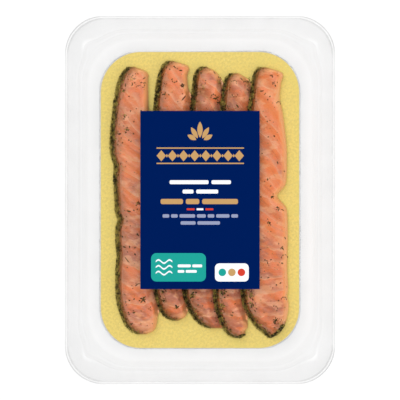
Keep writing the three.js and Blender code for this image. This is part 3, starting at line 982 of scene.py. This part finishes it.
def bar(left, right, bottom, top, radius=None):
    """The outline of a bar with round corners."""
    radius = min(right - left, top - bottom) / 2 if radius is None else radius
    outline = []
    for x, y, start in ((right, top, 0), (left, top, 0.5), (left, bottom, 1), (right, bottom, 1.5)):
        inward_x = -radius if x == right else radius
        inward_y = -radius if y == top else radius
        for angle in math.pi * (start + np.linspace(0, 0.5, 7)):
            outline.append((x + inward_x + radius * math.cos(angle),
                            y + inward_y + radius * math.sin(angle)))
    return np.array(outline)


def leaf(x, y, length, width, turn):
    """The outline of a pointed leaf that starts at a place."""
    along = np.linspace(0, 1, 12)
    half = width / 2 * np.sin(math.pi * along) ** 0.8
    there = np.column_stack([along * length, -half])
    back = np.column_stack([along[::-1] * length, half[::-1]])[1:-1]
    outline = np.concatenate([there, back])
    angle = math.radians(turn)
    spin = np.array([[math.cos(angle), math.sin(angle)], [-math.sin(angle), math.cos(angle)]])
    return outline @ spin + (x, y)


def lozenge(x, y, width, height):
    return np.array([
        (x + width / 2, y), (x, y + height / 2), (x - width / 2, y), (x, y - height / 2)
    ])


def disc(x, y, radius, steps=28):
    angle = np.linspace(0, 2 * math.pi, steps, endpoint=False)
    return np.column_stack([x + radius * np.cos(angle), y + radius * np.sin(angle)])


def wave(left, right, y, rise, breadth, steps=30):
    """The outline of a wavy band."""
    along = np.linspace(0, 1, steps)
    x = lerp(left, right, along)
    middle = y + rise * np.sin(along * 3 * math.pi)
    low = np.column_stack([x, middle - breadth / 2])
    high = np.column_stack([x, middle + breadth / 2])
    return np.concatenate([low, high[::-1]])


def word_bars(left, right, bottom, top, shares, gap):
    """A row of plain bars that fills a line of print; each takes a share of its width."""
    free = right - left - gap * (len(shares) - 1)
    outlines = []
    start = left
    for share in shares:
        stop = start + free * share / sum(shares)
        outlines.append(bar(start, stop, bottom, top, 0.35 * (top - bottom)))
        start = stop + gap
    return outlines


def gold_shapes():
    shapes = [leaf(0, 34.6, 9.0, 3.0, 90)]
    for side in (-1, 1):
        for reach, turn in ((7.2, 31), (5.6, 60)):
            angle = math.radians(90 + side * turn)
            start = (2.4 * math.cos(angle), 32.2 + 2.4 * math.sin(angle))
            shapes.append(leaf(*start, reach, 2.6, 90 + side * turn))
    shapes += [bar(-24.2, 24.5, y, y + 0.7) for y in (20.0, 28.5)]
    shapes += [lozenge(x, 24.6, 5.2, 6.2) for x in np.linspace(-21.5, 21.8, 8)]
    shapes += [lozenge(x, 24.6, 1.5, 1.9) for x in np.linspace(-18.4, 18.7, 7)]
    shapes += word_bars(-21.9, 21.1, -2.3, 0.6, (5, 3, 8), 1.6)
    return shapes


def pale_shapes():
    shapes = word_bars(-16.9, 17.2, 8.8, 11.0, (10, 5), 1.6)
    shapes += word_bars(-9.7, 10.1, 3.6, 5.8, (3, 6), 1.5)
    shapes += [bar(8.3, 27.1, -45.3, -35.2, 2.4)]
    shapes += [bar(-1.9, 1.9, -5.7, -4.6, 0.3)]
    return shapes


def faint_shapes():
    shapes = word_bars(-20.8, 21.1, -9.8, -7.9, (3, 3, 7, 4, 3, 6, 3), 1.0)
    shapes += word_bars(-10.8, 11.1, -13.7, -11.8, (6, 9), 1.0)
    return shapes


def teal_waves():
    return [wave(-24.6, -15.4, y, 0.9, 0.9) for y in (-40.6, -37.4, -34.2)]


def teal_lines():
    lines = word_bars(-12.4, 1.2, -37.4, -35.8, (4, 3), 0.8)
    return lines + word_bars(-12.4, -1.8, -40.4, -38.9, (3, 5), 0.8)


def dot_shapes():
    return [disc(x, -40.2, 2.1) for x in (12.4, 17.7, 23.0)]


def accent_bars():
    return [bar(-7.4, -3.0, -5.7, -4.6, 0.3), bar(3.0, 7.4, -5.7, -4.6, 0.3)]


# Operators


def length_setting(name, description, default):
    return bpy.props.FloatProperty(
        name=name, description=description, default=default, unit="LENGTH", precision=5
    )


def colour_setting(name, description, default):
    return bpy.props.FloatVectorProperty(
        name=name, description=description, default=default, subtype="COLOR", min=0, max=1
    )


def count_setting(name, description, default):
    return bpy.props.IntProperty(name=name, description=description, default=default, min=0)


class SalmonPackSizes(bpy.types.PropertyGroup):
    sheet: length_setting("Tray sheet", "Thickness of the formed plastic", 0.6 * MM)
    slice_thickness: length_setting("Slice thickness", "Thickness of a slice", 7.5 * MM)
    crust_width: length_setting("Crust width", "Width of the slanted, crusted side", 3.0 * MM)
    crust_crumbs: count_setting("Crust crumbs", "Crumbs of dill on each slice's crust", 4000)
    dill_needles: count_setting("Dill needles", "Loose needles of dill on each slice", 80)


class SalmonPackColours(bpy.types.PropertyGroup):
    dull: colour_setting("Dull flesh", "Flesh of the duller slices", (0.38, 0.112, 0.056))
    bright: colour_setting("Bright flesh", "Flesh of the brighter slices", (0.70, 0.188, 0.055))
    line: colour_setting("Pale lines", "Lines between the flakes", (0.75, 0.345, 0.168))
    crust: colour_setting("Crust", "Herb crust on the slices' edges", (0.155, 0.118, 0.026))
    dill_dark: colour_setting("Dark dill", "Darkest bits of dill", (0.018, 0.014, 0.001))
    dill_light: colour_setting("Light dill", "Lightest bits of dill", (0.56, 0.43, 0.09))
    dill_brown: colour_setting("Brown dill", "Browned bits of dill", (0.15, 0.075, 0.025))
    board: colour_setting("Board", "Gold-coloured board", (0.587, 0.453, 0.109))
    label: colour_setting("Label", "Dark blue ground of the label", (0.0001, 0.0108, 0.089))
    gold: colour_setting("Gold print", "Gold shapes on the label", (0.52, 0.31, 0.125))
    pale: colour_setting("Pale print", "White shapes on the label", (0.86, 0.88, 0.92))
    faint: colour_setting("Faint print", "Small pale shapes on the label", (0.28, 0.31, 0.45))
    teal: colour_setting("Teal print", "Teal panel on the label", (0.014, 0.33, 0.28))
    accent: colour_setting("Accent print", "Small coloured shapes on the label", (0.60, 0.05, 0.03))


class SALMON_OT_tray(bpy.types.Operator):
    """Makes the clear formed tray"""

    bl_idname = "salmon.tray"
    bl_label = "Tray"

    def execute(self, context):
        upper = self.upper_face()
        lower = self.lower_face(upper, context.scene.salmon_sizes.sheet / MM)
        rows = np.concatenate([lower[::-1], upper])
        points, faces = skin([pack_ring(*row) for row in rows])
        material = clear_material("clear_tray", 0.006, 0.08, 0.85, 0.12, 9, 0.05)
        made = add_piece("tray_shell", points, faces, material, ("tray",))
        set_values(made, "haze_and_painted_light", self.haze_and_painted_light(rows[:, :1]))
        return {"FINISHED"}

    def upper_face(self):
        """Rows from the edge inwards: inset, height, corner radius and bulge of the lugs."""
        face = np.array(TRAY_FACE, float)
        face[:, 1] = FLANGE_HEIGHT - face[:, 1]
        face = chaikin(face)
        insets = np.union1d(face[:, 0], np.arange(0, face[-1, 0], TRAY_STEP))
        return np.stack([np.interp(insets, face[:, 0], column) for column in face.T], 1)

    def lower_face(self, upper, sheet):
        """The rows of the face that lies one thickness of the sheet behind another."""
        line = upper[:, :2]
        ahead = np.concatenate([line[1:], line[-1:]])
        behind = np.concatenate([line[:1], line[:-1]])
        way = unit(ahead - behind)
        lower = line + sheet * np.stack([way[:, 1], -way[:, 0]], 1)
        lower[0] = (0, line[0, 1] - sheet)
        lower[-1] = (line[-1, 0] - sheet / 2, 0)
        lower[:, 1] = np.maximum(lower[:, 1], 0)
        return np.concatenate([lower, upper[:, 2:]], 1)

    def haze_and_painted_light(self, insets):
        """Painted light in the sheet: milkier along the corners' edges as painted shade, and
        clearer before each lug as a painted highlight.
        """
        in_corner = ease(8 * np.minimum(corner_shares(), 1 - corner_shares()))
        edge = 1 + 0.6 * in_corner * (insets < EDGE_INSET)
        # a painted highlight: the sheet is clearer just before each lug
        painted_lug_glint = np.exp(-(((insets - LUG_GLINT_INSET) / 0.7) ** 2)) * lug_shares()
        return np.interp(insets, *zip(*TRAY_HAZE_AND_LIGHT)) * edge * (1 - painted_lug_glint)


class SALMON_OT_film(bpy.types.Operator):
    """Makes the clear film that seals the tray"""

    bl_idname = "salmon.film"
    bl_label = "Film"

    def execute(self, context):
        insets = np.concatenate([[0, 0.08, 0.3], np.linspace(0.8, FILM_FLAT, FILM_RINGS)])
        lower = [self.ring(inset, film_low.z / MM) for inset in insets]
        upper = [self.ring(inset, film_high.z / MM) for inset in insets]
        points, faces = skin(lower[::-1] + upper)
        material = clear_material("clear_film", 0.001, 0.06, 0.9, 0.06, 18, 0.003)
        made = add_piece("film_sheet", points, faces, material, ("film",), sharp=60)
        set_values(made, "haze_and_painted_light", np.ones(len(points)))
        return {"FINISHED"}

    def ring(self, inset, z):
        """Points round the film at an inset. Inside the flange it dips a little, in waves."""
        half_width = film_high.x / MM
        half_length = film_high.y / MM
        radius = FLANGE_RADIUS - (PACK_WIDTH / 2 - half_width)
        points = rounded_ring(half_width - inset, half_length - inset, max(radius - inset, 2), z)
        slack = ease((inset - FILM_TAUT) / 8) * ease((FILM_FLAT - inset) / 12)
        wave = 0.5 + 0.5 * lumps(points[:, 0], points[:, 1], 23, 5)
        points[:, 2] -= FILM_DIP * slack * wave
        return points


class SALMON_OT_board(bpy.types.Operator):
    """Makes the gold board under the fish"""

    bl_idname = "salmon.board"
    bl_label = "Board"

    def execute(self, context):
        half_width = card_high.x / MM
        half_length = card_high.y / MM
        bottom = card_low.z / MM
        rows = (
            (CARD_BEVEL, bottom),
            (0, bottom + CARD_BEVEL),
            (0, CARD_TOP - CARD_BEVEL),
            (CARD_BEVEL, CARD_TOP),
        )
        rings = [
            rounded_ring(half_width - inset, half_length - inset, CARD_RADIUS - inset, z)
            for inset, z in rows
        ]
        points, faces = skin(rings)
        material = board_material(context.scene.salmon_colours.board)
        name = "gold_board_sheet"
        made = add_piece(name, points, faces, material, ("card",), sharp=30)
        # the side and bevel get the pale edge, partly painted light over the rim's shade
        set_values(made, "cut", np.repeat([1, 1, 1, 0], len(rings[0])))
        return {"FINISHED"}


class SALMON_OT_slices(bpy.types.Operator):
    """Makes the slices of smoked salmon"""

    bl_idname = "salmon.slices"
    bl_label = "Slices"

    def execute(self, context):
        colours = context.scene.salmon_colours
        material = salmon_material(colours.dull, colours.bright, colours.line, colours.crust)
        for index, piece in enumerate(make_slices(context.scene.salmon_sizes)):
            build_slice(piece, material, 40 + 10 * index)
        return {"FINISHED"}


class SALMON_OT_crust(bpy.types.Operator):
    """Makes the crumbs of dill on the slices' crusted edges and in small patches on the flesh"""

    bl_idname = "salmon.crust"
    bl_label = "Herb crust"

    def execute(self, context):
        colours = context.scene.salmon_colours
        sizes = context.scene.salmon_sizes
        draw = np.random.RandomState(7)
        slices = make_slices(sizes)
        parts = [crust_flecks(piece, sizes.crust_crumbs, draw) for piece in slices]
        for piece in slices:
            if piece.facts["wrap"]:
                parts.append(end_flecks(piece, sizes.crust_crumbs // 10, draw))
        for x, y, size in PATCHES:
            parts.append(patch_flecks(slice_under(slices, x, y), x, y, size, draw))
        points, faces = join_meshes([part[:2] for part in parts])
        material = dill_material("dill", colours.dill_dark, colours.dill_light, colours.dill_brown)
        made = add_piece("dill_crust", points, faces, material)
        corners = len(CRUMB_CORNERS)
        x, y, _ = points.reshape(-1, corners, 3).mean(1).T
        tone = CRUST_TONE + np.concatenate([part[2] for part in parts])
        tone += 0.6 * lumps(x, y, 1.4, 77)
        tone += 0.55 * lumps(x, y, 0.8, 78) + draw.uniform(-0.2, 0.2, len(x))
        tone = np.where(draw.uniform(size=len(x)) < BROWN_SHARE, 1, np.clip(tone, 0, 0.85))
        set_values(made, "tone", np.repeat(tone, corners))
        return {"FINISHED"}


class SALMON_OT_needles(bpy.types.Operator):
    """Makes the loose needles and sprigs of dill on the slices"""

    bl_idname = "salmon.needles"
    bl_label = "Dill needles"

    def execute(self, context):
        colours = context.scene.salmon_colours
        sizes = context.scene.salmon_sizes
        draw = np.random.RandomState(11)
        slices = make_slices(sizes)
        strokes = {piece: self.loose_needles(piece, sizes.dill_needles, draw) for piece in slices}
        for kind, x, y, size, turn in SPRIGS:
            strokes[slice_under(slices, x, y)] += sprig_strokes(kind, x, y, size, turn, draw)
        parts = []
        for piece, drawn in strokes.items():
            starts, ends, bows = (np.array(column) for column in zip(*drawn))
            widths = draw.uniform(*NEEDLE_WIDTH, len(bows))
            heights = draw.uniform(*NEEDLE_DEPTH, len(bows))
            parts.append(spindles(starts, ends, widths, heights, bows, piece.height))
        points, faces = join_meshes(parts)
        light = scaled(colours.dill_light, 0.2)
        material = dill_material("dill_loose", colours.dill_dark, light, colours.dill_brown)
        made = add_piece("dill_needles", points, faces, material)
        tones = draw.uniform(0, 1, len(points) // SPINDLE_POINTS)
        set_values(made, "tone", np.repeat(tones, SPINDLE_POINTS))
        return {"FINISHED"}

    def loose_needles(self, piece, count, draw):
        y = draw.uniform(piece.bottom + 3, piece.top - 3, count)
        left = piece.left(y) + 2
        right = piece.right(y) - TUCK * (piece.tucked(y) > 0) - 0.8
        x = lerp(left, right, draw.uniform(0, 1, count) ** 1.7)
        turn = draw.uniform(0, math.pi, count)
        length = draw.uniform(0.4, 0.9, count) + draw.exponential(0.35, count)
        half = np.stack([np.cos(turn), np.sin(turn)], 1) * (length / 2)[:, None]
        centre = np.stack([x, y], 1)
        return list(zip(centre - half, centre + half, draw.normal(0, 0.12, count)))


class SALMON_OT_label(bpy.types.Operator):
    """Makes the label and the plain shapes printed on it"""

    bl_idname = "salmon.label"
    bl_label = "Label"

    def execute(self, context):
        colours = context.scene.salmon_colours
        half_width = LABEL_WIDTH / 2
        half_length = LABEL_LENGTH / 2
        ground = LABEL_TOP - PRINT_DEPTH
        outline = bar(-half_width, half_width, -half_length, half_length, 0.3)
        points, faces = plate(outline, LABEL_BOTTOM, ground)
        material = print_material("label_ground", colours.label)
        add_piece("label_sheet", points, faces, material, ("label",), sharp=30)
        dots = dot_shapes()
        panel = [bar(-27.2, 3.3, -45.3, -29.5, 3)]
        for name, outlines, colour, slot, layer in (
            ("label_gold_shapes", gold_shapes(), colours.gold, "label_gold", 1),
            ("label_pale_shapes", pale_shapes(), colours.pale, "label_pale", 1),
            ("label_faint_shapes", faint_shapes(), colours.faint, "label_pale", 1),
            ("label_teal_panel", panel, colours.teal, "label_teal", 1),
            ("label_teal_waves", teal_waves(), colours.pale, "label_pale", 2),
            ("label_teal_lines", teal_lines(), colours.pale, "label_pale", 2),
            ("label_dots_teal", dots[:1], colours.teal, "label_teal", 2),
            ("label_dots_gold", dots[1:2], colours.gold, "label_gold", 2),
            ("label_accents", dots[2:] + accent_bars(), colours.accent, "label_accent", 2),
        ):
            high = ground + PRINT_LAYER * layer
            points, faces = join_meshes([plate(outline, ground, high) for outline in outlines])
            add_piece(name, points, faces, print_material(name, colour), sharp=30)
        return {"FINISHED"}


class SALMON_OT_stage(bpy.types.Operator):
    """Makes the floor, the lights and the camera"""

    bl_idname = "salmon.stage"
    bl_label = "Stage"

    def execute(self, context):
        scene = context.scene
        add_floor()
        world = bpy.data.worlds.new("studio")
        world.use_nodes = True
        background = world.node_tree.nodes["Background"]
        background.inputs["Color"].default_value = (*WHITE, 1)
        background.inputs["Strength"].default_value = WORLD_STRENGTH
        scene.world = world
        add_area_light("key", (-0.55, 0.75, 1.5), KEY_POWER)
        add_area_light("fill", (0.9, -0.5, 1.2), FILL_POWER)
        overhead = bpy.data.lights.new("overhead", "SUN")
        overhead.energy = OVERHEAD_STRENGTH
        overhead.angle = math.radians(OVERHEAD_SPREAD)
        place_object("overhead", overhead, (0, 0, 0))
        camera = bpy.data.cameras.new("camera")
        camera.sensor_width = SENSOR_WIDTH
        camera.lens = SENSOR_WIDTH * CAMERA_DISTANCE / (FRAME_WIDTH * MM)
        camera.clip_end = 20
        height = CAMERA_DISTANCE + FLANGE_HEIGHT * MM
        scene.camera = place_object("camera", camera, (0, 0, height))
        scene.view_settings.view_transform = "Standard"
        scene.cycles.transparent_max_bounces = CLEAR_LAYERS
        return {"FINISHED"}


def place_object(name, data, place):
    made = bpy.data.objects.new(name, data)
    made.location = place
    bpy.context.scene.collection.objects.link(made)
    return made


def add_floor():
    mesh = bpy.data.meshes.new("floor")
    corners = [(x * FLOOR_HALF, y * FLOOR_HALF, 0) for x, y in ((-1, -1), (1, -1), (1, 1), (-1, 1))]
    mesh.from_pydata(corners, [], [(0, 1, 2, 3)])
    m = Recipe("floor_white")
    inputs = {"Base Color": FLOOR_WHITE, "Roughness": 0.8, "Specular IOR Level": 0.1}
    mesh.materials.append(m.finish(m.add("BsdfPrincipled", inputs)[0]))
    floor = place_object("floor", mesh, (0, 0, 0))


def add_area_light(name, place, power):
    light = bpy.data.lights.new(name, "AREA")
    light.shape = "SQUARE"
    light.size = LIGHT_SIZE
    light.energy = power
    lamp = place_object(name, light, place)
    lamp.rotation_euler = (-Vector(place)).to_track_quat("-Z", "Y").to_euler()


OPERATORS = (
    SALMON_OT_stage,
    SALMON_OT_tray,
    SALMON_OT_film,
    SALMON_OT_board,
    SALMON_OT_slices,
    SALMON_OT_crust,
    SALMON_OT_needles,
    SALMON_OT_label,
)


class SALMON_PT_panel(bpy.types.Panel):
    """Lists the pieces of the pack"""

    bl_label = "Salmon Pack"
    bl_space_type = "VIEW_3D"
    bl_region_type = "UI"
    bl_category = "Salmon Pack"

    def draw(self, context):
        for operator in OPERATORS:
            self.layout.operator(operator.bl_idname)
        for group in (context.scene.salmon_sizes, context.scene.salmon_colours):
            column = self.layout.column()
            for name in group.__annotations__:
                column.prop(group, name)


CLASSES = (SalmonPackSizes, SalmonPackColours, *OPERATORS, SALMON_PT_panel)


def register():
    for each in CLASSES:
        bpy.utils.register_class(each)
    bpy.types.Scene.salmon_sizes = bpy.props.PointerProperty(type=SalmonPackSizes)
    bpy.types.Scene.salmon_colours = bpy.props.PointerProperty(type=SalmonPackColours)


def unregister():
    del bpy.types.Scene.salmon_colours
    del bpy.types.Scene.salmon_sizes
    for each in reversed(CLASSES):
        bpy.utils.unregister_class(each)


def main():
    register()
    for operator in OPERATORS:
        getattr(bpy.ops.salmon, operator.bl_idname.split(".")[1])()


if __name__ == "__main__":
    main()
